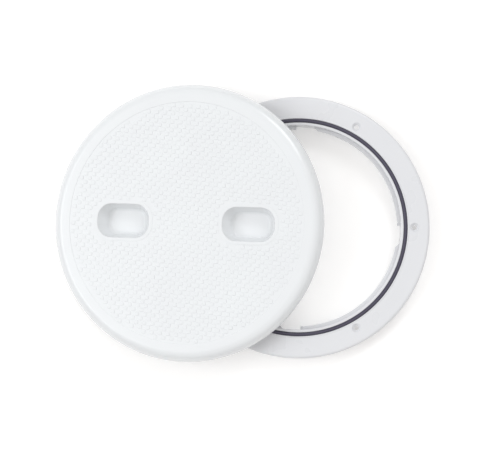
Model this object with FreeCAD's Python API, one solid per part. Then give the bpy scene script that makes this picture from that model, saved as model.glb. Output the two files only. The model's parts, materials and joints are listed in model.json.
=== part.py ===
import FreeCAD, Part
import math
import os

# An eight inch deck inspection plate. A flanged ring is screwed round a cut-out in a deck,
# an O-ring lies in the ring's groove, and a round lid locks into the ring by a quarter turn.
# The lid is off the ring here: it leans on the flange, with its left side down on the surface
# that the ring stands on.
# Sizes are millimetres. The origin is the ring's centre on the face that lies on the deck,
# and +Z points up, out of the deck.

# Ring: flange, lip and skirt
opening_d = 202.0            # clear hole inside the lip
flange_t = 6.0
flange_edge_round = 3.0
flange_foot_chamfer = 0.6
skirt_wall = 3.2
skirt_depth = 17.0           # below the deck face
skirt_lead_in = 1.0          # chamfer that starts the skirt into the cut-out
lip_w = 2.7                  # wall between the opening and the groove
lip_round = 0.7

# Seal and its groove
seal_section = 3.5
seal_proud = 1.2             # stands above the flange when free
seal_squeeze = 0.2           # what the closed lid takes up
groove_side_gap = 0.2
bead_w = 1.6                 # raised bead along the groove's outer edge
bead_h = 0.35

# Screws through the flange
screw_count = 6
screw_from_groove = 6.9      # circle of the screws outside the groove
screw_to_edge = 15.0         # and inside the edge of the flange
screw_hole_d = 4.6
screw_head_d = 9.0
screw_head_angle = 90.0

# Grooves for bedding compound, one each side of the screws
bedding_groove_w = 2.0
bedding_groove_depth = 0.8
bedding_groove_offset = 6.0

# Bayonet ledges inside the skirt
ledge_count = 4
ledge_reach = 3.4            # inwards from the skirt's inner wall
ledge_drop = 7.6             # top of the ledges below the top of the flange
ledge_t = 4.0
ledge_gap = 17.0             # way in for a lug
ledge_slant = 10.0           # lead-in cut across the first end of each ledge
ledge_turn = -3.7            # degrees, direction of the first gap
ramp_len = 24.0              # the lug climbs this far under a ledge
ramp_rise = 1.2
stop_w = 3.0                 # block that ends the lug's travel
stop_h = 3.4

# Lid: plate and rounded rim
lid_overhang = 7.0           # past the edge of the flange
lid_h = 13.0                 # foot of the rim to the top face
lid_plate_t = 3.6
rim_w = 10.1                 # radial width of the rounding
rim_drop = 11.1              # height of the rounding
rim_wall = 3.0
rim_foot_round = 0.8
lid_deck_gap = 0.5           # foot of the rim above the deck when closed

# Tread field, a shallow sunk disc that keeps the non-slip pads off the smooth border
tread_border = 7.6           # smooth border between the field and the rounding
tread_depth = 0.4
tread_margin = 3.2           # smooth band left round each finger recess

# Finger recesses
recess_len = 53.7
recess_w = 33.4
recess_corner = 14.5
recess_to_spigot = 1.3       # between a recess's wall and the spigot
recess_depth = 17.0
recess_side_in = 4.4         # the long walls lean inwards by this much over the depth
recess_end_in = 7.2          # and the ends, which the fingers push against, by this much
recess_floor_round = 3.0
recess_edge_round = 0.8
recess_wall = 2.2

# Spigot with the bayonet lugs
spigot_gap = 1.2             # to the ledges
spigot_wall = 2.6
spigot_edge = 0.6
lug_gap = 0.1                # under a ledge when closed
lug_side_gap = 1.0           # each side, in the gap of the ledges
lug_tip_gap = 1.2            # to the skirt
lug_t = 3.2
lug_lead_in = 1.4            # bevel on the leading end of a lug
lug_turn = 45.0              # degrees, first lug from the line of the recesses

# Sealing land and ribs under the plate
land_w = 5.8
rib_t = 2.0
rib_h = 5.0
rib_angles = (36.0, 72.0, 108.0, 144.0, 216.0, 252.0, 288.0, 324.0)
hub_d = 26.0
hub_wall = 2.4
web_count = 24               # short webs between the sealing land and the rim
web_t = 1.8
web_into_rim = 1.0           # webs are fused this far into the rim's wall

# Where the lid leans
lean_x = -108.2
lean_y = 3.4
lean_turn = -2.15            # degrees about its own axis
lean_gap = 0.2               # kept between spigot and flange
lean_limit = 40.0            # degrees, steepest lean that is tried
lean_steps = 22              # halvings of that range

# Sizes that follow from the above
bore_r = opening_d / 2
skirt_r = bore_r + skirt_wall
groove_in_r = bore_r + lip_w
groove_out_r = groove_in_r + seal_section + 2 * groove_side_gap
groove_floor_z = flange_t + seal_proud - seal_section
seal_r = (groove_in_r + groove_out_r) / 2
screw_circle_r = groove_out_r + screw_from_groove
flange_r = screw_circle_r + screw_to_edge
ledge_r = bore_r - ledge_reach
ledge_top_z = flange_t - ledge_drop
ledge_foot_z = ledge_top_z - ledge_t
lid_r = flange_r + lid_overhang
crease_r = lid_r - rim_w
tread_r = crease_r - tread_border
rim_arc_r = (rim_w ** 2 + rim_drop ** 2) / (2 * rim_w)
rim_inner_r = rim_arc_r - rim_wall
rim_centre_r = lid_r - rim_arc_r
rim_centre_z = lid_h - rim_drop
plate_under_z = lid_h - lid_plate_t
land_z = flange_t + seal_proud - seal_squeeze - lid_deck_gap
spigot_r = ledge_r - spigot_gap
spigot_in_r = spigot_r - spigot_wall
recess_x = spigot_in_r - recess_to_spigot - recess_wall - recess_len / 2
lug_r = bore_r - lug_tip_gap
lug_top_z = ledge_foot_z - lug_gap - lid_deck_gap
spigot_foot_z = lug_top_z - lug_t

OVER = 1.0                   # cutting tools run this far past the faces they cut
NEAR = 0.001                 # heights closer than this count as one


def vec(x, y, z):
    return FreeCAD.Vector(x, y, z)


def turned(shape, degrees):
    """A copy turned about the Z axis."""
    copy = shape.copy()
    copy.rotate(vec(0, 0, 0), vec(0, 0, 1), degrees)
    return copy


def revolve(points):
    """A closed (radius, height) outline turned round the Z axis.

    A point is (r, z), or ("arc", (r, z), (r, z)): through the first point to the second.
    """
    edges = []
    here = points[0]
    for step in points[1:] + [points[0]]:
        if step[0] == "arc":
            middle, end = step[1], step[2]
            arc = Part.Arc(vec(here[0], 0, here[1]), vec(middle[0], 0, middle[1]), vec(end[0], 0, end[1]))
            edges.append(arc.toShape())
            here = end
        else:
            edges.append(Part.makeLine(vec(here[0], 0, here[1]), vec(step[0], 0, step[1])))
            here = step
    face = Part.Face(Part.Wire(edges))
    return face.revolve(vec(0, 0, 0), vec(0, 0, 1), 360)


def tube(r_in, r_out, z_low, z_high):
    return revolve([(r_in, z_low), (r_out, z_low), (r_out, z_high), (r_in, z_high)])


def corner_arc(centre_r, centre_z, radius, start, end):
    """An arc step for revolve, by its centre and its angles in degrees."""
    def at(angle):
        a = math.radians(angle)
        return (centre_r + radius * math.cos(a), centre_z + radius * math.sin(a))
    return ("arc", at((start + end) / 2), at(end))


def prism(corners, low, high, plane="XY"):
    """A flat polygon pulled straight: an XY outline along Z, or a YZ outline along X."""
    if plane == "XY":
        ring = [vec(x, y, low) for x, y in corners]
        pull = vec(0, 0, high - low)
    else:
        ring = [vec(low, y, z) for y, z in corners]
        pull = vec(high - low, 0, 0)
    return Part.Face(Part.makePolygon(ring + [ring[0]])).extrude(pull)


def rounded_rectangle(length, width, corner, z):
    """A closed wire round the Z axis, long side along X."""
    x, y = length / 2, width / 2
    k = corner * (1 - math.sqrt(0.5))
    sides = [
        ((-x + corner, -y), (x - corner, -y), (x - k, -y + k)),
        ((x, -y + corner), (x, y - corner), (x - k, y - k)),
        ((x - corner, y), (-x + corner, y), (-x + k, y - k)),
        ((-x, y - corner), (-x, -y + corner), (-x + k, -y + k)),
    ]
    edges = []
    for i, (start, end, bend) in enumerate(sides):
        after = sides[(i + 1) % 4][0]
        edges.append(Part.makeLine(vec(*start, z), vec(*end, z)))
        edges.append(Part.Arc(vec(*end, z), vec(*bend, z), vec(*after, z)).toShape())
    return Part.Wire(edges)


def ring_body():
    """Flange, lip and skirt as one turned section, with the seal's groove."""
    edge = flange_edge_round
    bead_top = (groove_out_r + bead_w / 2, flange_t + bead_h)
    return revolve([
        (bore_r, -skirt_depth),
        (skirt_r - skirt_lead_in, -skirt_depth),
        (skirt_r, -skirt_depth + skirt_lead_in),
        (skirt_r, 0),
        (flange_r - flange_foot_chamfer, 0),
        (flange_r, flange_foot_chamfer),
        (flange_r, flange_t - edge),
        corner_arc(flange_r - edge, flange_t - edge, edge, 0, 90),
        (groove_out_r + bead_w, flange_t),
        ("arc", bead_top, (groove_out_r, flange_t)),
        (groove_out_r, groove_floor_z),
        (groove_in_r, groove_floor_z),
        (groove_in_r, flange_t),
        (bore_r + lip_round, flange_t),
        corner_arc(bore_r + lip_round, flange_t - lip_round, lip_round, 90, 180),
    ])


def screw_hole():
    """One countersunk hole through the flange, on the X axis."""
    cone_h = (screw_head_d - screw_hole_d) / 2 / math.tan(math.radians(screw_head_angle / 2))
    at = vec(screw_circle_r, 0, 0)
    hole = Part.makeCylinder(screw_hole_d / 2, flange_t + 2 * OVER, at - vec(0, 0, OVER))
    cone_foot = at + vec(0, 0, flange_t - cone_h)
    cone = Part.makeCone(screw_hole_d / 2, screw_head_d / 2, cone_h, cone_foot)
    mouth = Part.makeCylinder(screw_head_d / 2, OVER, at + vec(0, 0, flange_t))
    return hole.fuse([cone, mouth])


def ledges():
    """The broken ledge under the lip. Seen from above, each arc starts with a slanted end and
    a ramp on its underside, and ends square, with a stop below it."""
    step = 360.0 / ledge_count
    half = ledge_gap / 2
    # the ledges run a little into the skirt, so that the two fuse
    band = tube(ledge_r, bore_r + skirt_wall / 2, ledge_foot_z, ledge_top_z)
    inner = ledge_r - OVER
    outer = bore_r + skirt_wall
    gap = prism(
        [(inner, half), (outer, half), (outer, -half), (bore_r, -half), (ledge_r, -half - ledge_slant),
         (inner, -half - ledge_slant)],
        ledge_foot_z - OVER, ledge_top_z + OVER)
    ramp = prism(
        [(-half + OVER, ledge_foot_z - OVER), (-half + OVER, ledge_foot_z + ramp_rise),
         (-half, ledge_foot_z + ramp_rise), (-half - ramp_len, ledge_foot_z),
         (-half - ramp_len, ledge_foot_z - OVER)],
        ledge_r * math.cos(math.radians(step / 2)), bore_r, "YZ")
    stop = prism(
        [(half, ledge_foot_z - stop_h), (half + stop_w, ledge_foot_z - stop_h),
         (half + stop_w, ledge_foot_z), (half, ledge_foot_z)],
        ledge_r, outer, "YZ").common(tube(ledge_r, bore_r + skirt_wall / 2, -skirt_depth, 0))
    angles = [ledge_turn + step * i for i in range(ledge_count)]
    band = band.cut([turned(gap, a) for a in angles])
    band = band.cut([turned(ramp, a) for a in angles])
    return band.fuse([turned(stop, a) for a in angles])


def make_ring():
    body = ring_body().fuse(ledges())
    holes = [turned(screw_hole(), 360.0 / screw_count * i) for i in range(screw_count)]
    grooves = []
    for side in (-1, 1):
        r = screw_circle_r + side * bedding_groove_offset
        grooves.append(tube(r - bedding_groove_w / 2, r + bedding_groove_w / 2, -OVER, bedding_groove_depth))
    return body.cut(holes + grooves).removeSplitter()


def make_seal():
    return Part.makeTorus(seal_r, seal_section / 2, vec(0, 0, groove_floor_z + seal_section / 2))


def lid_shell():
    """Plate, rounded rim, sealing land and spigot as one turned section."""
    crease = math.degrees(math.acos((crease_r - rim_centre_r) / rim_arc_r))
    inner_start = math.degrees(math.asin((plate_under_z - rim_centre_z) / rim_inner_r))
    land_in_r = seal_r - land_w / 2
    land_out_r = seal_r + land_w / 2
    foot = rim_foot_round
    cut = spigot_edge
    return revolve([
        (0, lid_h),
        (0, plate_under_z),
        (spigot_in_r, plate_under_z),
        (spigot_in_r, spigot_foot_z + cut),
        (spigot_in_r + cut, spigot_foot_z),
        (spigot_r - cut, spigot_foot_z),
        (spigot_r, spigot_foot_z + cut),
        (spigot_r, plate_under_z),
        (land_in_r, plate_under_z),
        (land_in_r, land_z),
        (land_out_r, land_z),
        (land_out_r, plate_under_z),
        (rim_centre_r + rim_inner_r * math.cos(math.radians(inner_start)), plate_under_z),
        corner_arc(rim_centre_r, rim_centre_z, rim_inner_r, inner_start, 0),
        (lid_r - rim_wall, 0),
        (lid_r - foot, 0),
        corner_arc(lid_r - foot, foot, foot, -90, 0),
        (lid_r, rim_centre_z),
        corner_arc(rim_centre_r, rim_centre_z, rim_arc_r, 0, crease),
    ])


def recess_block(grow, depth, floor_round):
    """A rounded block that hangs from the top face and narrows downwards: the recess itself, or
    with grow the outside of the wall round it."""
    side_in = recess_side_in * depth / recess_depth
    end_in = recess_end_in * depth / recess_depth
    length = recess_len + 2 * grow
    width = recess_w + 2 * grow
    corner = recess_corner + grow
    mouth = rounded_rectangle(length, width, corner, lid_h)
    floor = rounded_rectangle(length - 2 * end_in, width - 2 * side_in, corner - side_in, lid_h - depth)
    block = Part.makeLoft([mouth, floor], True, True)
    low = [e for e in block.Edges if e.BoundBox.ZMax < lid_h - depth + NEAR]
    return block.makeFillet(floor_round, low)


def place_recess(shape, side):
    copy = shape.copy()
    copy.translate(vec(side * recess_x, 0, 0))
    return copy


def lug():
    """One outward lug on the spigot, bevelled on the end that meets the ramp first."""
    half = ledge_gap / 2 - lug_side_gap
    block = prism(
        [(-half, spigot_foot_z + spigot_edge), (half, spigot_foot_z + spigot_edge), (half, lug_top_z),
         (-half + 2 * lug_lead_in, lug_top_z), (-half, lug_top_z - lug_lead_in)],
        spigot_in_r, lug_r + OVER, "YZ")
    return block.common(tube(spigot_r - spigot_wall / 2, lug_r, spigot_foot_z, lug_top_z))


def ribs():
    """Radial ribs from the hub to the spigot, and short webs from the land to the rim."""
    low = plate_under_z - rib_h
    arms = []
    for a in rib_angles:
        arm = Part.makeBox(spigot_r - spigot_wall / 2 - hub_d / 2 + hub_wall, rib_t, rib_h,
                           vec(hub_d / 2 - hub_wall / 2, -rib_t / 2, low))
        arms.append(turned(arm, a))
    hub = tube(hub_d / 2 - hub_wall, hub_d / 2, low, plate_under_z)
    web_in = seal_r + land_w / 2 - OVER
    rim_at_land = rim_centre_r + math.sqrt(rim_inner_r ** 2 - (land_z - rim_centre_z) ** 2)
    web_len = rim_at_land + web_into_rim - web_in
    web = Part.makeBox(web_len, web_t, plate_under_z - land_z, vec(web_in, -web_t / 2, land_z))
    webs = [turned(web, 360.0 / web_count * (i + 0.5)) for i in range(web_count)]
    return arms + [hub] + webs


def tread_field():
    """The shallow disc sunk into the top face, less the smooth bands round the recesses."""
    disc = Part.makeCylinder(tread_r, tread_depth + OVER, vec(0, 0, lid_h - tread_depth))
    band = rounded_rectangle(recess_len + 2 * tread_margin, recess_w + 2 * tread_margin,
                             recess_corner + tread_margin, lid_h - tread_depth - OVER)
    island = Part.Face(band).extrude(vec(0, 0, tread_depth + 3 * OVER))
    return disc.cut([place_recess(island, side) for side in (-1, 1)])


def recess_mouth_edges(lid):
    """The edges of the two recess mouths on the top face."""
    found = []
    for edge in lid.Edges:
        box = edge.BoundBox
        if abs(box.ZMin - lid_h) > NEAR or abs(box.ZMax - lid_h) > NEAR:
            continue
        x = abs(box.Center.x) - recess_x
        if abs(x) <= recess_len / 2 and abs(box.Center.y) <= recess_w / 2 + NEAR:
            if box.XLength < recess_len and box.YLength < recess_w:
                found.append(edge)
    return found


def make_lid():
    """The lid in its own frame: rim's foot on z = 0, top face up, recesses along X."""
    outside = recess_block(recess_wall, recess_depth + recess_wall, recess_floor_round + recess_wall)
    inside = recess_block(0, recess_depth, recess_floor_round)
    lugs = [turned(lug(), lug_turn + 360.0 / ledge_count * i) for i in range(ledge_count)]
    lid = lid_shell().fuse(ribs() + lugs + [place_recess(outside, side) for side in (-1, 1)])
    lid = lid.removeSplitter()
    lid = lid.cut([place_recess(inside, side) for side in (-1, 1)])
    lid = lid.makeFillet(recess_edge_round, recess_mouth_edges(lid))
    return lid.cut(tread_field())


def lowest(tilt):
    """Height of the lid's lowest point over the centre of its foot, when its left side is down."""
    rim = rim_foot_round * (math.cos(tilt) - 1) - (lid_r - rim_foot_round) * math.sin(tilt)
    spigot = spigot_foot_z * math.cos(tilt) - (spigot_r - spigot_edge) * math.sin(tilt)
    cup_foot_z = lid_h - recess_depth - recess_wall
    cup_end_x = recess_x + recess_len / 2 + recess_wall
    cup = cup_foot_z * math.cos(tilt) - cup_end_x * math.sin(tilt)
    return min(rim, spigot, cup)


def leaned(shape, tilt):
    """A copy of the lid, or of a piece of it, with its lowest point level with the skirt's foot."""
    copy = turned(shape, lean_turn)
    copy.rotate(vec(0, 0, 0), vec(0, 1, 0), -math.degrees(tilt))
    copy.translate(vec(lean_x, lean_y, -skirt_depth - lowest(tilt)))
    return copy


def lean(lid):
    """Tilt the lid until the foot of its spigot comes down on the edge of the flange."""
    foot = tube(spigot_in_r + spigot_edge, spigot_r - spigot_edge, spigot_foot_z, plate_under_z)
    flange = ring_body()
    low, high = 0.0, math.radians(lean_limit)
    for _ in range(lean_steps):
        tilt = (low + high) / 2
        if leaned(foot, tilt).distToShape(flange)[0] < lean_gap:
            low = tilt
        else:
            high = tilt
    print("the lid leans %.3f degrees" % math.degrees(high))
    return leaned(lid, high)


pieces = {
    "ring": make_ring(),
    "seal": make_seal(),
    "lid": lean(make_lid()),
}
for name, shape in pieces.items():
    if len(shape.Solids) != 1 or not shape.isValid():
        raise ValueError(name + " is not one valid solid")
    shape.Solids[0].exportStep("parts/" + name + ".step")
    print(name, "volume %.1f cm3" % (shape.Volume / 1000), "faces", len(shape.Faces))
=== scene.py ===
# %% [markdown]
# # A deck inspection plate, dressed round its solids
#
# The plate is three mouldings: a flanged ring that is screwed round a hole in a deck, an O-ring
# in the ring's groove, and a round lid that leans on the ring with its left edge on the floor.
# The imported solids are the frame. Everything here is built round them, in metres, in their place,
# and the sizes that the frame knows are read from it, so that the two can't drift apart.

# %% Load the frame
import json
import math

import bmesh
import bpy
from mathutils import Matrix, Vector


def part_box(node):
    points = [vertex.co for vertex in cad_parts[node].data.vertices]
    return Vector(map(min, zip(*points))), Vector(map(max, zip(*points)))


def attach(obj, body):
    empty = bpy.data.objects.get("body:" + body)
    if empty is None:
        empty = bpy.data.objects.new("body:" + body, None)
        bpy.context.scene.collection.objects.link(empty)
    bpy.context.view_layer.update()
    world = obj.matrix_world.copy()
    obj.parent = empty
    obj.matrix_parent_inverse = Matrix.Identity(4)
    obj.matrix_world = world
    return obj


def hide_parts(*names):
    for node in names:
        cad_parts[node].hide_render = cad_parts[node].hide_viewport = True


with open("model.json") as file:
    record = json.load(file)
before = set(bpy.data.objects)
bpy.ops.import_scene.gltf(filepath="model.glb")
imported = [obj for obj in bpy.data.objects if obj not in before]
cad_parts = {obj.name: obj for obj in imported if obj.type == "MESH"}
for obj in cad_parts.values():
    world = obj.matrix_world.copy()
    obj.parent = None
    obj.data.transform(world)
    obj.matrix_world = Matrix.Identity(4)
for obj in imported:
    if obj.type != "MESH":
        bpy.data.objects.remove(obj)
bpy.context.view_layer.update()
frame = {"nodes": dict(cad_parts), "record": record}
MM = 0.001

# %% [markdown]
# Some sizes are written in the frame itself. The ring's box gives the flange and the foot of the
# skirt, the seal's box gives the O-ring, and the mounts give the screws and the cut-out. They are
# turned to millimetres, because the sections below are drawn in millimetres.

# %% Sizes from the frame
ring_low, ring_high = (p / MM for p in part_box("ring"))
seal_low, seal_high = (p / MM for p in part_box("seal"))
dims = {m["name"]: m["dims"] for m in frame["record"]["mounts"]}
flange_r = ring_high.x
skirt_foot = ring_low.z
skirt_r = dims["cutout_spigot"]["r_mm"]
screw_circle_r = dims["screw_circle"]["pcd_mm"] / 2
screw_hole_r = dims["screw_circle"]["hole_r_mm"]
screw_count = dims["screw_circle"]["count"]
seal_foot = round(seal_low.z, 1)
seal_section = round(seal_high.z - seal_low.z, 1)
seal_r = round(seal_high.x, 1) - seal_section / 2
print("flange radius %.2f, seal radius %.2f, section %.2f" % (flange_r, seal_r, seal_section))

# %% [markdown]
# Operators act on whatever is selected, and loading leaves the solids selected. So a few small
# helpers keep the selection clean: let_go drops everything, pick takes hold of one piece, open_up
# and close_up go in and out of edit mode, and settle moves a piece's place into its mesh.

# %% Selecting and naming
def let_go():
    bpy.ops.object.select_all(action="DESELECT")


def pick(piece):
    let_go()
    piece.select_set(True)
    bpy.context.view_layer.objects.active = piece


def open_up(piece):
    pick(piece)
    bpy.ops.object.mode_set(mode="EDIT")
    bpy.ops.mesh.select_all(action="SELECT")


def select_edges(piece, wanted):
    """In edit mode, select the edges for which wanted(edge) holds, and nothing else."""
    bpy.ops.mesh.select_all(action="DESELECT")
    bpy.ops.mesh.select_mode(type="EDGE")
    mesh = bmesh.from_edit_mesh(piece.data)
    for edge in mesh.edges:
        edge.select_set(wanted(edge))
    bmesh.update_edit_mesh(piece.data)


def close_up():
    """Leave edit mode with doubles merged and every face pointing outwards."""
    bpy.ops.mesh.select_all(action="SELECT")
    bpy.ops.mesh.remove_doubles(threshold=0.0005 * MM)
    bpy.ops.mesh.normals_make_consistent(inside=False)
    bpy.ops.object.mode_set(mode="OBJECT")


def settle(name=None):
    """Move the active object's place into its mesh, and name it if it is new."""
    piece = bpy.context.object
    if name:
        piece.name = piece.data.name = name
    bpy.ops.object.transform_apply(location=True, rotation=True, scale=True)
    return piece


print("helpers ready")

# %% [markdown]
# A moulding has no sharp corners. Each section is written as corners with a rounding, and this
# helper turns every corner into a short arc. Bevel would do it as well, but not with a different
# radius at each corner of a turned shape.

# %% Rounded outlines
def arc(centre, radius, start, end, steps):
    """Points on an arc, angles in degrees."""
    turns = [math.radians(start + (end - start) * i / steps) for i in range(steps + 1)]
    return [(centre[0] + radius * math.cos(a), centre[1] + radius * math.sin(a)) for a in turns]


def rounded(corners):
    """Corners (across, up) or (across, up, rounding) as the points of a smooth outline."""
    points = []
    for i, corner in enumerate(corners):
        here = Vector(corner[:2])
        radius = corner[2] if len(corner) == 3 else 0
        if not radius:
            points.append(tuple(here))
            continue
        back = (Vector(corners[i - 1][:2]) - here).normalized()
        ahead = (Vector(corners[(i + 1) % len(corners)][:2]) - here).normalized()
        half = back.angle(ahead) / 2
        centre = here + (back + ahead).normalized() * radius / math.sin(half)
        first = here + back * radius / math.tan(half) - centre
        last = here + ahead * radius / math.tan(half) - centre
        start = math.degrees(math.atan2(first.y, first.x))
        sweep = (math.degrees(math.atan2(last.y, last.x)) - start + 180) % 360 - 180
        points += arc(centre, radius, start, start + sweep, 3 + int(1.6 * radius))
    return points


print("a corner of 2.5 mm gets", len(rounded([(0, 0), (9, 0, 2.5), (9, 9)])) - 2, "points")

# %% [markdown]
# The ring, the lid and several small tools are round, so each is a section turned about an axis.
# One vertex is pushed along the section, edge by edge, and Spin turns the line into a surface.

# %% Turning a section
def lathe(name, points, steps=288):
    """A closed outline of (radius, height) points turned round the Z axis."""
    let_go()
    across, up = points[0]
    bpy.ops.mesh.primitive_plane_add(size=MM, location=(across * MM, 0, up * MM))
    piece = settle(name)
    open_up(piece)
    bpy.ops.mesh.merge(type="CENTER")
    for here, there in zip(points, points[1:] + points[:1]):
        push = ((there[0] - here[0]) * MM, 0, (there[1] - here[1]) * MM)
        bpy.ops.mesh.extrude_vertices_move(TRANSFORM_OT_translate={"value": push})
    bpy.ops.mesh.select_all(action="SELECT")
    bpy.ops.mesh.remove_doubles(threshold=0.0005 * MM)
    bpy.ops.mesh.spin(steps=steps, angle=2 * math.pi, center=(0, 0, 0), axis=(0, 0, 1))
    close_up()
    open_up(piece)
    bpy.ops.mesh.delete_loose(use_verts=True, use_edges=True, use_faces=False)
    bpy.ops.object.mode_set(mode="OBJECT")
    return piece


def open_edges(piece):
    """How many edges of a piece don't lie between exactly two faces: 0 on a closed one."""
    mesh = bmesh.new()
    mesh.from_mesh(piece.data)
    count = sum(len(e.link_faces) != 2 for e in mesh.edges)
    mesh.free()
    return count


print("turning helper ready")

# %% [markdown]
# Pieces are fused and carved with Boolean modifiers, applied at once, and copies are set round
# the axis. Each copy gets its own mesh, and the copies are joined to one tool.

# %% Fusing, carving and copying
def combine(piece, tool, operation):
    """Fuse a tool to a piece (UNION) or carve it out (DIFFERENCE). The tool is used up."""
    pick(piece)
    step = piece.modifiers.new("combine", "BOOLEAN")
    step.operation = operation
    step.solver = "EXACT"
    step.object = tool
    bpy.ops.object.modifier_apply(modifier=step.name)
    bpy.data.objects.remove(tool)
    open_up(piece)
    close_up()
    print(operation.lower(), piece.name, "faces", len(piece.data.polygons), "open edges", open_edges(piece))


def copies(piece, places):
    """Join one copy of a piece for each (turn in degrees, shift in mm)."""
    made = []
    for turn, shift in places:
        pick(piece)
        bpy.ops.object.duplicate(linked=False)
        copy = bpy.context.object
        place = Matrix.Rotation(math.radians(turn), 4, "Z") @ Matrix.Translation(Vector(shift) * MM)
        copy.matrix_world = place
        made.append(settle())
    bpy.data.objects.remove(piece)
    let_go()
    for copy in made:
        copy.select_set(True)
    bpy.context.view_layer.objects.active = made[0]
    bpy.ops.object.join()
    return bpy.context.object


print("joining helpers ready")

# %% [markdown]
# The ring is one turned section: skirt, flat foot with two grooves for bedding compound, rounded
# edge, a low bead outside the seal's groove, the groove itself and the thin lip inside it.

# %% The ring's section
bore_r = 101.0
flange_t, flange_edge_round = 6.0, 3.0
lip_w, groove_slack = 2.7, 0.4
groove_in_r = bore_r + lip_w
groove_out_r = groove_in_r + seal_section + groove_slack
bead_w, bead_h = 1.6, 0.35
bead_arc_r = (bead_w ** 2 / 4 + bead_h ** 2) / (2 * bead_h)
bead_centre = (groove_out_r + bead_w / 2, flange_t + bead_h - bead_arc_r)
bead_half = math.degrees(math.asin(bead_w / 2 / bead_arc_r))
bedding_offset, bedding_half_w, bedding_depth = 6.0, 1, 0.8
foot = []
for side in (-1, 1):
    inner = screw_circle_r + side * bedding_offset - bedding_half_w
    outer = screw_circle_r + side * bedding_offset + bedding_half_w
    foot += [(inner, 0), (inner, bedding_depth), (outer, bedding_depth), (outer, 0)]
ring_corners = [(bore_r, skirt_foot, 0.4), (skirt_r, skirt_foot, 0.9), (skirt_r, 0, 0.2)] + foot
ring_corners += [(flange_r, 0, 0.6), (flange_r, flange_t, flange_edge_round)]
ring_corners += arc(bead_centre, bead_arc_r, 90 - bead_half, 90 + bead_half, 6)
ring_corners += [(groove_out_r, seal_foot, 0.3), (groove_in_r, seal_foot, 0.3)]
ring_corners += [(groove_in_r, flange_t, 0.35), (bore_r, flange_t, 0.7)]
ring_body = lathe("ring_body", rounded(ring_corners))
print("ring_body faces", len(ring_body.data.polygons), "open edges", open_edges(ring_body))

# %% [markdown]
# Below the lip, four ledges stand inwards from the skirt. A lug of the lid goes down through a
# gap and turns under the next ledge. A standing plane, spun through part of a turn, gives such a
# curved block, and Bisect trims its ends: one square, one slanted, and a ramp underneath.

# %% One bayonet ledge
def band(name, r_in, r_out, z_low, z_high, start, end, steps):
    """A curved block between two angles in degrees. Spin turns clockwise, so its angle is negative."""
    let_go()
    middle = ((r_in + r_out) / 2 * MM, 0, (z_low + z_high) / 2 * MM)
    bpy.ops.mesh.primitive_plane_add(size=1, location=middle, rotation=(math.pi / 2, 0, 0))
    bpy.context.object.scale = ((r_out - r_in) * MM, (z_high - z_low) * MM, 1)
    piece = settle(name)
    piece.rotation_euler.z = math.radians(start)
    settle()
    open_up(piece)
    bpy.ops.mesh.spin(steps=steps, angle=math.radians(start - end), center=(0, 0, 0), axis=(0, 0, 1))
    bpy.ops.mesh.select_all(action="SELECT")
    bpy.ops.mesh.fill_holes(sides=0)
    close_up()
    return piece


def trim(piece, point, direction):
    """Cut a piece with a plane and throw away the side that the direction points to."""
    open_up(piece)
    at = Vector(point) * MM
    bpy.ops.mesh.bisect(plane_co=at, plane_no=direction, use_fill=True, clear_outer=True)
    close_up()


ledge_reach = 3.4
ledge_r = bore_r - ledge_reach
ledge_top, ledge_foot = -1.6, -5.6
ledge_gap, ledge_slant, ledge_turn = 17.0, 10.0, -3.7
ramp_len, ramp_rise = 24.0, 1.2
in_wall = bore_r + 1.6
ledge = band("ledge", ledge_r, in_wall, ledge_foot, ledge_top, -90, 0, 60)
half = ledge_gap / 2
trim(ledge, (half, 0, 0), (-1, 0, 0))
trim(ledge, (bore_r, -half, 0), (-ledge_slant, ledge_reach, 0))
trim(ledge, (0, -half, ledge_foot + ramp_rise), (0, ramp_rise, -ramp_len))
reach = [v.co / MM for v in ledge.data.vertices]
print("ledge x %.1f to %.1f" % (min(p.x for p in reach), max(p.x for p in reach)),
      "y %.1f to %.1f" % (min(p.y for p in reach), max(p.y for p in reach)), "open", open_edges(ledge))

# %% [markdown]
# A stop hangs below the square end of each ledge and ends the lug's travel. It is a small curved
# block as well. The four ledges and the four stops are turned into place and fused to the ring.

# %% Ledges and stops
def soften(piece, width, angle=40):
    """Bevel every edge that is sharper than the angle."""
    open_up(piece)
    select_edges(piece, lambda e: len(e.link_faces) == 2 and e.calc_face_angle() > math.radians(angle))
    bpy.ops.mesh.bevel(offset=width * MM, segments=2, affect="EDGES", clamp_overlap=True)
    bpy.ops.mesh.select_mode(type="VERT")
    close_up()


stop_w, stop_h = 3.0, 3.4
stop_start = -90 + math.degrees(math.asin(half / ledge_r))
stop_end = -90 + math.degrees(math.asin((half + stop_w) / ledge_r))
stop = band("stop", ledge_r + 0.02, in_wall, ledge_foot - stop_h, ledge_foot + 1, stop_start, stop_end, 4)
soften(ledge, 0.3)
soften(stop, 0.3)
quarter = [(ledge_turn + 90 * i, (0, 0, 0)) for i in range(4)]
combine(ring_body, copies(ledge, quarter), "UNION")
combine(ring_body, copies(stop, quarter), "UNION")

# %% [markdown]
# Six countersunk holes go through the flange. The cutter is the shape of the hole: a shank, a
# cone for the screw's head, and a tiny flare that takes the edge off the mouth.

# %% Countersunk holes
head_r = 4.5
above = flange_t + 1
cone_foot = flange_t - (head_r - screw_hole_r)
hole = rounded([(0, -1), (screw_hole_r, -1), (screw_hole_r, cone_foot, 0.4), (head_r, flange_t, 0.3),
                (head_r + 1, flange_t)])[:-1]
hole_tool = lathe("hole_tool", hole + [(hole[-1][0], above), (0, above)], 48)
hole_tool.location.x = screw_circle_r * MM
pick(hole_tool)
settle()
sixths = [(360 / screw_count * i, (0, 0, 0)) for i in range(screw_count)]
combine(ring_body, copies(hole_tool, sixths), "DIFFERENCE")

# %% [markdown]
# The seal is a moulded O-ring. A torus gives its shape, and the two halves of the mould leave a
# fine flash line round the outside and the inside, which Bevel and a small push make.

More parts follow.
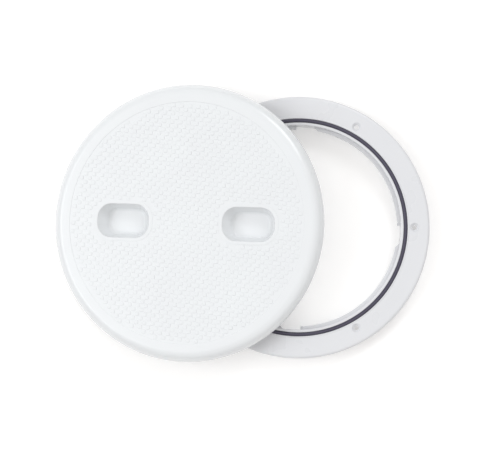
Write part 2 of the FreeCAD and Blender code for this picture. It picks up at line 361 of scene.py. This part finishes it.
# %% The O-ring
flash_half_w, flash_proud = 0.09, 0.04
let_go()
bpy.ops.mesh.primitive_torus_add(
    location=(0, 0, (seal_foot + seal_section / 2) * MM), major_segments=288, minor_segments=32,
    major_radius=seal_r * MM, minor_radius=(seal_section / 2 - flash_proud) * MM)
o_ring = settle("o_ring")
middle_z = (seal_foot + seal_section / 2) * MM


def runs_round(edge):
    """Whether an edge runs along the middle of the ring, outside or inside."""
    ends = [v.co for v in edge.verts]
    return (all(abs(p.z - middle_z) < 0.001 * MM for p in ends)
            and abs(ends[0].xy.length - ends[1].xy.length) < 0.01 * MM)


open_up(o_ring)
select_edges(o_ring, runs_round)
bpy.ops.mesh.bevel(offset=flash_half_w * MM, segments=2, affect="EDGES", profile=0.5)
bpy.ops.mesh.select_all(action="DESELECT")
bpy.ops.mesh.select_mode(type="VERT")
mesh = bmesh.from_edit_mesh(o_ring.data)
for vert in mesh.verts:
    if abs(vert.co.z - middle_z) < 0.001 * MM:
        away = 1 if vert.co.xy.length > seal_r * MM else -1
        vert.co.xy *= 1 + away * flash_proud * MM / vert.co.xy.length
bmesh.update_edit_mesh(o_ring.data)
close_up()
print("o_ring faces", len(o_ring.data.polygons), "open edges", open_edges(o_ring))

# %% [markdown]
# The lid is built flat, with the foot of its rim on zero, and leaned at the end. Its section has
# the plate, a rounded rim with a crease where the rounding starts, the land that presses on the
# seal, and the spigot that carries the lugs.

# %% The lid's section
lid_overhang, lid_h, plate_t = 7.0, 13.0, 3.6
lid_r = flange_r + lid_overhang
plate_under = lid_h - plate_t
rim_w, rim_drop, rim_wall = 10.1, 11.1, 3.0
crease_r = lid_r - rim_w
rim_arc_r = (rim_w ** 2 + rim_drop ** 2) / (2 * rim_w)
rim_centre = (lid_r - rim_arc_r, lid_h - rim_drop)
rim_inner_r = rim_arc_r - rim_wall
crease = math.degrees(math.acos((crease_r - rim_centre[0]) / rim_arc_r))
inner_start = math.degrees(math.asin((plate_under - rim_centre[1]) / rim_inner_r))
land_z, land_half_w = 6.5, 2.9
land_in_r, land_out_r = seal_r - land_half_w, seal_r + land_half_w
spigot_r, spigot_in_r, spigot_foot = 96.4, 93.8, -9.4
spigot_middle_r = (spigot_r + spigot_in_r) / 2
lid_corners = [(0, lid_h), (0, plate_under), (spigot_in_r, plate_under, 0.8)]
lid_corners += [(spigot_in_r, spigot_foot, 0.6), (spigot_r, spigot_foot, 0.6), (spigot_r, plate_under, 0.6)]
for r, z in ((land_in_r, plate_under), (land_in_r, land_z), (land_out_r, land_z), (land_out_r, plate_under)):
    lid_corners.append((r, z, 0.4))
lid_corners += arc(rim_centre, rim_inner_r, inner_start, 0, 12)
lid_corners += [(lid_r - rim_wall, 0, 0.3), (lid_r, 0, 0.8)]
lid_corners += arc(rim_centre, rim_arc_r, 0, crease, 24)
lid_shell = lathe("lid_shell", rounded(lid_corners))
print("lid_shell faces", len(lid_shell.data.polygons), "open edges", open_edges(lid_shell))

# %% [markdown]
# Two finger recesses are sunk into the plate. Each is a rounded rectangle that goes down in small
# insets: a rounded mouth, a leaning wall, and a rounding at the floor. The ends lean in more than
# the long sides. The same helper makes the outside of the recess's wall, which shows from below.

# %% Recesses
def sunk_block(name, length, width, corner, path, end_slope=0):
    """A rounded rectangle taken down through (inset, height) steps. Its ends lean in by an
    extra slope."""
    let_go()
    inset, top = path[0]
    bpy.ops.mesh.primitive_plane_add(size=1, location=(0, 0, top * MM))
    bpy.context.object.scale = ((length - 2 * inset) * MM, (width - 2 * inset) * MM, 1)
    piece = settle(name)
    open_up(piece)
    bpy.ops.mesh.bevel(affect="VERTICES", offset=(corner - inset) * MM, segments=12, profile=0.5)
    bpy.ops.mesh.select_all(action="SELECT")
    extra = 0
    for (inset, height), (next_inset, next_height) in zip(path, path[1:]):
        drop = (0, 0, (next_height - height) * MM)
        if next_inset > inset + 0.0001:
            bpy.ops.mesh.inset(thickness=(next_inset - inset) * MM, depth=0)
            bpy.ops.transform.translate(value=drop)
        else:
            bpy.ops.mesh.extrude_region_move(TRANSFORM_OT_translate={"value": drop})
        before = length / 2 - next_inset - extra
        extra = end_slope * (top - next_height)
        narrow = (length / 2 - next_inset - extra) / before
        bpy.ops.transform.resize(value=(narrow, 1, 1), center_override=(0, 0, 0))
    bpy.ops.mesh.select_all(action="SELECT")
    bpy.ops.mesh.fill_holes(sides=0)
    close_up()
    return piece


recess_len, recess_w, recess_corner = 53.7, 33.4, 14.5
recess_depth, recess_x, recess_wall = 17.0, 63.5, 2.2
side_in, end_in, floor_round = 4.4, 7.2, 3.0
side_slope, end_slope = side_in / recess_depth, (end_in - side_in) / recess_depth
sides = [(0, (recess_x, 0, 0)), (180, (recess_x, 0, 0))]
floor_z = lid_h - recess_depth
outer_floor = floor_z - recess_wall
lean_in = (lid_h - outer_floor) * side_slope
outer_path = rounded([(0, lid_h - 1), (lean_in, outer_floor, floor_round + recess_wall),
                      (14, outer_floor)])[:-1]
cup = sunk_block("cup", recess_len + 2 * recess_wall, recess_w + 2 * recess_wall,
                 recess_corner + recess_wall, outer_path, end_slope)
combine(lid_shell, copies(cup, sides), "UNION")

# %% [markdown]
# Under the plate, ribs run from a small hub to the spigot and short webs tie the land to the rim.
# A web is a cube stretched to its size. They go in before the recesses are carved.

# %% Ribs, hub and webs
def bar(name, start, end, width, low, high):
    """A straight bar along the X axis."""
    let_go()
    bpy.ops.mesh.primitive_cube_add(size=1, location=((start + end) / 2 * MM, 0, (low + high) / 2 * MM))
    bpy.context.object.scale = ((end - start) * MM, width * MM, (high - low) * MM)
    piece = settle(name)
    soften(piece, 0.25)
    return piece


hub_r, hub_wall = 13.0, 2.4
rib_t, rib_h = 2.0, 5.0
web_t, web_count = 1.8, 24
low = plate_under - rib_h
hub = lathe("hub", rounded([(hub_r - hub_wall, low, 0.4), (hub_r, low, 0.4), (hub_r, plate_under + 1),
                            (hub_r - hub_wall, plate_under + 1)]), 96)
rib = bar("rib", hub_r - hub_wall / 2, spigot_middle_r, rib_t, low, plate_under + 1)
rib_turns = [(a, (0, 0, 0)) for a in (36, 72, 108, 144, 216, 252, 288, 324)]
combine(hub, copies(rib, rib_turns), "UNION")
combine(lid_shell, hub, "UNION")
web_end = rim_centre[0] + math.sqrt(rim_inner_r ** 2 - (land_z - rim_centre[1]) ** 2) + 1
web = bar("web", land_out_r - 1, web_end, web_t, land_z + 0.02, plate_under + 0.6)
web_turns = [(360 / web_count * (i + 0.5), (0, 0, 0)) for i in range(web_count)]
combine(lid_shell, copies(web, web_turns), "UNION")

# %% [markdown]
# Four lugs stand out from the spigot's foot. Each is bevelled on the end that meets the ramp of a
# ledge first. They are spun like the ledges and trimmed with planes.

# %% Lugs
lug_r, lug_t, lug_half, lead_in = 99.8, 3.2, 7.5, 1.4
lug_top = spigot_foot + lug_t
lug = band("lug", spigot_middle_r, lug_r, spigot_foot + 0.03, lug_top, -6, 6, 16)
trim(lug, (0, lug_half, 0), (0, 1, 0))
trim(lug, (0, -lug_half, 0), (0, -1, 0))
trim(lug, (0, -lug_half, lug_top - lead_in), (0, -lead_in, 2 * lead_in))
soften(lug, 0.3)
combine(lid_shell, copies(lug, [(45 + 90 * i, (0, 0, 0)) for i in range(4)]), "UNION")

# %% [markdown]
# Now the recesses are carved. The mouth's rounding ends level with the top, and the tool goes on
# straight up from there, so that no face of the tool lies in the top face.

# %% Carving the recesses
path = rounded([(-2, lid_h), (0, lid_h, 0.8), (side_in, floor_z, floor_round), (9, floor_z)])[1:-1]
path = [(path[0][0], lid_h + 2)] + path
recess = sunk_block("recess", recess_len, recess_w, recess_corner, path, end_slope)
print("recess open edges", open_edges(recess))
combine(lid_shell, copies(recess, sides), "DIFFERENCE")

# %% [markdown]
# The non-slip field lies in a very shallow disc, so that its pads come level with the smooth
# border. A smooth band stays round each recess: two islands are carved out of the disc's tool.

# %% The sunk field
field_border, field_depth, island_grow = 7.6, 0.4, 3.2
field_r = crease_r - field_border
field_z, field_mouth_r = lid_h - field_depth, field_r + 0.12
field_tool = lathe("field_tool", [(0, field_z), (field_r, field_z), (field_mouth_r, lid_h + 0.02),
                                  (field_mouth_r, lid_h + 2), (0, lid_h + 2)])
island = sunk_block("island", recess_len + 2 * island_grow, recess_w + 2 * island_grow,
                    recess_corner + island_grow, [(0, lid_h + 4), (0, lid_h - 3)])
combine(field_tool, copies(island, sides), "DIFFERENCE")
combine(lid_shell, field_tool, "DIFFERENCE")

# %% [markdown]
# The pads are small squares with rounded corners, set like the dark squares of a chessboard. One
# pad is modelled with few faces, because it comes back more than a thousand times, and two Array
# modifiers on each of two lattices spread it. Pads that would cross an edge are deleted.

# %% One pad
pitch = 8.31
pad_w, pad_corner, pad_edge = 3.7, 0.8, 0.3
pad_top, pad_foot = lid_h + 0.1, lid_h - 0.7
let_go()
bpy.ops.mesh.primitive_cube_add(size=1, location=(0, 0, (pad_top + pad_foot) / 2 * MM))
bpy.context.object.scale = (pad_w * MM, pad_w * MM, (pad_top - pad_foot) * MM)
pads = settle("tread_pads")
open_up(pads)
select_edges(pads, lambda e: abs(e.verts[0].co.z - e.verts[1].co.z) > 0.1 * MM)
bpy.ops.mesh.bevel(offset=pad_corner * MM, segments=2, affect="EDGES")
select_edges(pads, lambda e: all(abs(v.co.z - pad_top * MM) < 0.01 * MM for v in e.verts))
bpy.ops.mesh.bevel(offset=pad_edge * MM, segments=2, affect="EDGES")
bpy.ops.mesh.select_mode(type="VERT")
close_up()
pad_verts = len(pads.data.vertices)
print("one pad has", len(pads.data.polygons), "faces and", pad_verts, "vertices")

# %% Spreading the pads
pads_across, field_shift, field_turn = 31, (1.7, -2.15, 0), -3.4


def spread(piece, axis):
    """Repeat a piece over the whole field along one axis."""
    step = piece.modifiers.new("spread", "ARRAY")
    step.use_relative_offset = False
    step.use_constant_offset = True
    step.constant_offset_displace = [pitch * MM if i == axis else 0 for i in range(3)]
    step.count = pads_across
    bpy.ops.object.modifier_apply(modifier=step.name)


spread(pads, 0)
spread(pads, 1)
corner = -(pads_across // 2) * pitch
pads = copies(pads, [(0, (corner, corner, 0)), (0, (corner - pitch / 2, corner - pitch / 2, 0))])
pads.location = Vector(field_shift) * MM
pads.rotation_euler.z = math.radians(field_turn)
pads = settle("tread_pads")
print("pads before trimming", len(pads.data.vertices) // pad_verts)

# %% [markdown]
# The two lattices together make the chessboard. A pad stays if it lies whole in the field and off
# the bands round the recesses. The vertices of each pad come one after the other, so the pads are
# told apart by counting.

# %% Pads outside the field go
def in_field(x, y):
    """Whether a pad centred here lies whole in the field, off both recess bands."""
    reach = pad_w / 2 + 0.3
    if math.hypot(x, y) > field_r - reach:
        return False
    grow = island_grow + reach
    dx = max(abs(abs(x) - recess_x) - (recess_len / 2 - recess_corner), 0)
    dy = max(abs(y) - (recess_w / 2 - recess_corner), 0)
    return math.hypot(dx, dy) > recess_corner + grow


for i in range(0, len(pads.data.vertices), pad_verts):
    own = pads.data.vertices[i:i + pad_verts]
    centre = sum((v.co for v in own), Vector()) / pad_verts / MM
    for v in own:
        v.select = not in_field(centre.x, centre.y)
out = [v.select for v in pads.data.vertices]
bpy.ops.object.mode_set(mode="EDIT")
bpy.ops.mesh.select_all(action="DESELECT")
mesh = bmesh.from_edit_mesh(pads.data)
mesh.verts.ensure_lookup_table()
for vert, gone in zip(mesh.verts, out):
    vert.select_set(gone)
bmesh.update_edit_mesh(pads.data)
bpy.ops.mesh.delete(type="VERT")
bpy.ops.object.mode_set(mode="OBJECT")
print("pads", len(pads.data.vertices) // pad_verts)

# %% [markdown]
# The lid leans as its solid does. The solid's widest flat direction is the lid's own axis, and
# its middle in the two directions across that axis is the lid's middle, so the place is measured
# from the frame. Only the small turn about the lid's own axis is given.

# %% Where the lid leans
lid_turn = -2.15
flats = {}
solid = frame["nodes"]["lid"].data
for face in solid.polygons:
    key = tuple(round(v, 2) for v in face.normal)
    flats[key] = flats.get(key, Vector()) + face.normal * face.area
axis = max((v for v in flats.values() if v.z > 0), key=lambda v: v.length).normalized()
across = Vector((axis.z, 0, -axis.x))
corners = [v.co for v in solid.vertices]
spans = []
for direction in (across, Vector((0, 1, 0)), axis):
    reach = [c.dot(direction) for c in corners]
    spans.append((min(reach), max(reach)))
origin = across * sum(spans[0]) / 2 + Vector((0, 1, 0)) * sum(spans[1]) / 2
origin += axis * (spans[2][1] - lid_h * MM)
lean = math.atan2(-axis.x, axis.z)
lid_place = (Matrix.Translation(origin) @ Matrix.Rotation(-lean, 4, "Y")
             @ Matrix.Rotation(math.radians(lid_turn), 4, "Z"))
print("the lid leans %.2f degrees about" % math.degrees(lean), [round(v / MM, 2) for v in origin])
for piece in (lid_shell, pads):
    pick(piece)
    piece.matrix_world = lid_place
    settle()

# %% [markdown]
# The ring and the lid are white moulded plastic with a satin skin. The mould leaves a very fine
# grain, and the colour and the shine wander a little where the plastic flowed. Two noises on
# object coordinates give that: a broad one for colour and shine, a fine one for the grain.

# %% Moulded plastic
def moulded(name, light, dark, shine, grain_mm, grain_depth):
    """A procedural finish: colour and roughness wander, and a fine grain lifts the surface."""
    finish = bpy.data.materials.new(name)
    finish.use_nodes = True
    nodes, links = finish.node_tree.nodes, finish.node_tree.links
    skin = nodes["Principled BSDF"]
    place = nodes.new("ShaderNodeTexCoord")
    broad = nodes.new("ShaderNodeTexNoise")
    broad.inputs["Scale"].default_value = 22
    broad.inputs["Detail"].default_value = 3
    tint = nodes.new("ShaderNodeValToRGB")
    tint.color_ramp.elements[0].position = 0.3
    tint.color_ramp.elements[0].color = dark + (1,)
    tint.color_ramp.elements[1].position = 0.7
    tint.color_ramp.elements[1].color = light + (1,)
    rough = nodes.new("ShaderNodeMapRange")
    rough.inputs["To Min"].default_value = shine[0]
    rough.inputs["To Max"].default_value = shine[1]
    fine = nodes.new("ShaderNodeTexNoise")
    fine.inputs["Scale"].default_value = 1 / (grain_mm * MM)
    fine.inputs["Detail"].default_value = 4
    bump = nodes.new("ShaderNodeBump")
    bump.inputs["Strength"].default_value = 0.3
    bump.inputs["Distance"].default_value = grain_depth * MM
    links.new(place.outputs["Object"], broad.inputs["Vector"])
    links.new(place.outputs["Object"], fine.inputs["Vector"])
    links.new(broad.outputs["Fac"], tint.inputs["Fac"])
    links.new(tint.outputs["Color"], skin.inputs["Base Color"])
    links.new(broad.outputs["Fac"], rough.inputs["Value"])
    links.new(rough.outputs["Result"], skin.inputs["Roughness"])
    links.new(fine.outputs["Fac"], bump.inputs["Height"])
    links.new(bump.outputs["Normal"], skin.inputs["Normal"])
    return finish


ring_plastic = moulded("ring_plastic", (0.74, 0.745, 0.765), (0.725, 0.73, 0.75), (0.24, 0.32), 0.35, 0.02)
lid_plastic = moulded("lid_plastic", (0.80, 0.818, 0.828), (0.79, 0.803, 0.816), (0.17, 0.24), 0.35, 0.02)
seal_rubber = moulded("seal_rubber", (0.072, 0.066, 0.1), (0.056, 0.051, 0.08), (0.42, 0.6), 0.5, 0.05)
print("finishes", ring_plastic.name, lid_plastic.name, seal_rubber.name)

# %% [markdown]
# Last, each piece is shaded smooth but for its real corners, and its flat faces keep flat shading
# through weighted normals. Then it is told which body it rides on.

# %% Shading the pieces and giving them finishes and bodies
for piece, finish, slot in ((ring_body, ring_plastic, "ring"), (o_ring, seal_rubber, "seal"),
                            (lid_shell, lid_plastic, "lid"), (pads, lid_plastic, "lid")):
    pick(piece)
    piece.data.materials.clear()
    piece.data.materials.append(finish)
    bpy.ops.object.shade_smooth_by_angle(angle=math.radians(35))
    weigh = piece.modifiers.new("weigh", "WEIGHTED_NORMAL")
    weigh.keep_sharp = True
    bpy.ops.object.modifier_apply(modifier=weigh.name)
    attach(piece, "root")
    print(piece.name, "faces", len(piece.data.polygons))
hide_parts("ring")
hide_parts("seal")
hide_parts("lid")

# %% [markdown]
# The photo is a shop picture: a white table under white surroundings that get brighter upwards, so
# there is hardly a hard shadow. A big soft lamp stands on the left, and it brightens the right
# wall of each recess and the ring's far wall. A second one stands behind, to the right, and
# draws the thin shadow inside the opening. A third, very weak, lifts the front. The table glows
# a little itself, because the photo's table is burnt out to pure white.

# %% Floor and light
let_go()
bpy.ops.mesh.primitive_plane_add(size=6, location=(0, 0, skirt_foot * MM))
table = settle("floor")
white = bpy.data.materials.new("white_table")
white.use_nodes = True
paper = white.node_tree.nodes["Principled BSDF"]
paper.inputs["Base Color"].default_value = (0.93, 0.92, 0.91, 1)
paper.inputs["Roughness"].default_value = 0.9
paper.inputs["Emission Color"].default_value = (1, 1, 1, 1)
paper.inputs["Emission Strength"].default_value = 0.2
table.data.materials.append(white)

lamps = ((182, 42, 0.95, 36), (66, 44, 0.75, 24), (290, 50, 0.15, 40))
for round_z, height, strength, spread_angle in lamps:
    way_from = Vector((math.cos(math.radians(round_z)) * math.cos(math.radians(height)),
                       math.sin(math.radians(round_z)) * math.cos(math.radians(height)),
                       math.sin(math.radians(height))))
    bpy.ops.object.light_add(type="SUN")
    lamp = bpy.context.object
    lamp.data.energy = strength
    lamp.data.color = (0.94, 0.97, 1.0)
    lamp.data.angle = math.radians(spread_angle)
    lamp.rotation_euler = (-way_from).to_track_quat("-Z", "Y").to_euler()

at_horizon, overhead = 0.12, 0.97
world = bpy.data.worlds.new("surroundings")
world.use_nodes = True
nodes, links = world.node_tree.nodes, world.node_tree.links
way = nodes.new("ShaderNodeTexCoord")
parts = nodes.new("ShaderNodeSeparateXYZ")
dim = nodes.new("ShaderNodeMapRange")
dim.inputs["From Min"].default_value = 0.0
dim.inputs["From Max"].default_value = 1.0
dim.inputs["To Min"].default_value = at_horizon
dim.inputs["To Max"].default_value = overhead
links.new(way.outputs["Generated"], parts.inputs["Vector"])
links.new(parts.outputs["Z"], dim.inputs["Value"])
links.new(dim.outputs["Result"], nodes["Background"].inputs["Strength"])
nodes["Background"].inputs["Color"].default_value = (1, 0.985, 0.97, 1)
bpy.context.scene.world = world
bpy.context.scene.view_settings.view_transform = "Standard"
print("lamps", len(lamps))

# %% [markdown]
# The camera was found by fitting the circles of the ring and the lid and the corners of the
# recesses. It looks almost straight down from two metres, so the perspective is slight.

# %% Camera
camera_spot = Vector((-0.257, -94.611, 1967.549))
camera_turn = Vector((0.043978, 0.024151, 0.002946))
bpy.ops.object.camera_add()
camera = bpy.context.object
camera.data.sensor_width = 36
camera.data.lens = 143.26
camera.data.clip_end = 20
camera.matrix_world = (Matrix.Translation(camera_spot * MM)
                       @ Matrix.Rotation(camera_turn.length, 4, camera_turn.normalized()))
bpy.context.scene.camera = camera
print("camera at", [round(v, 3) for v in camera.location])

# %% [markdown]
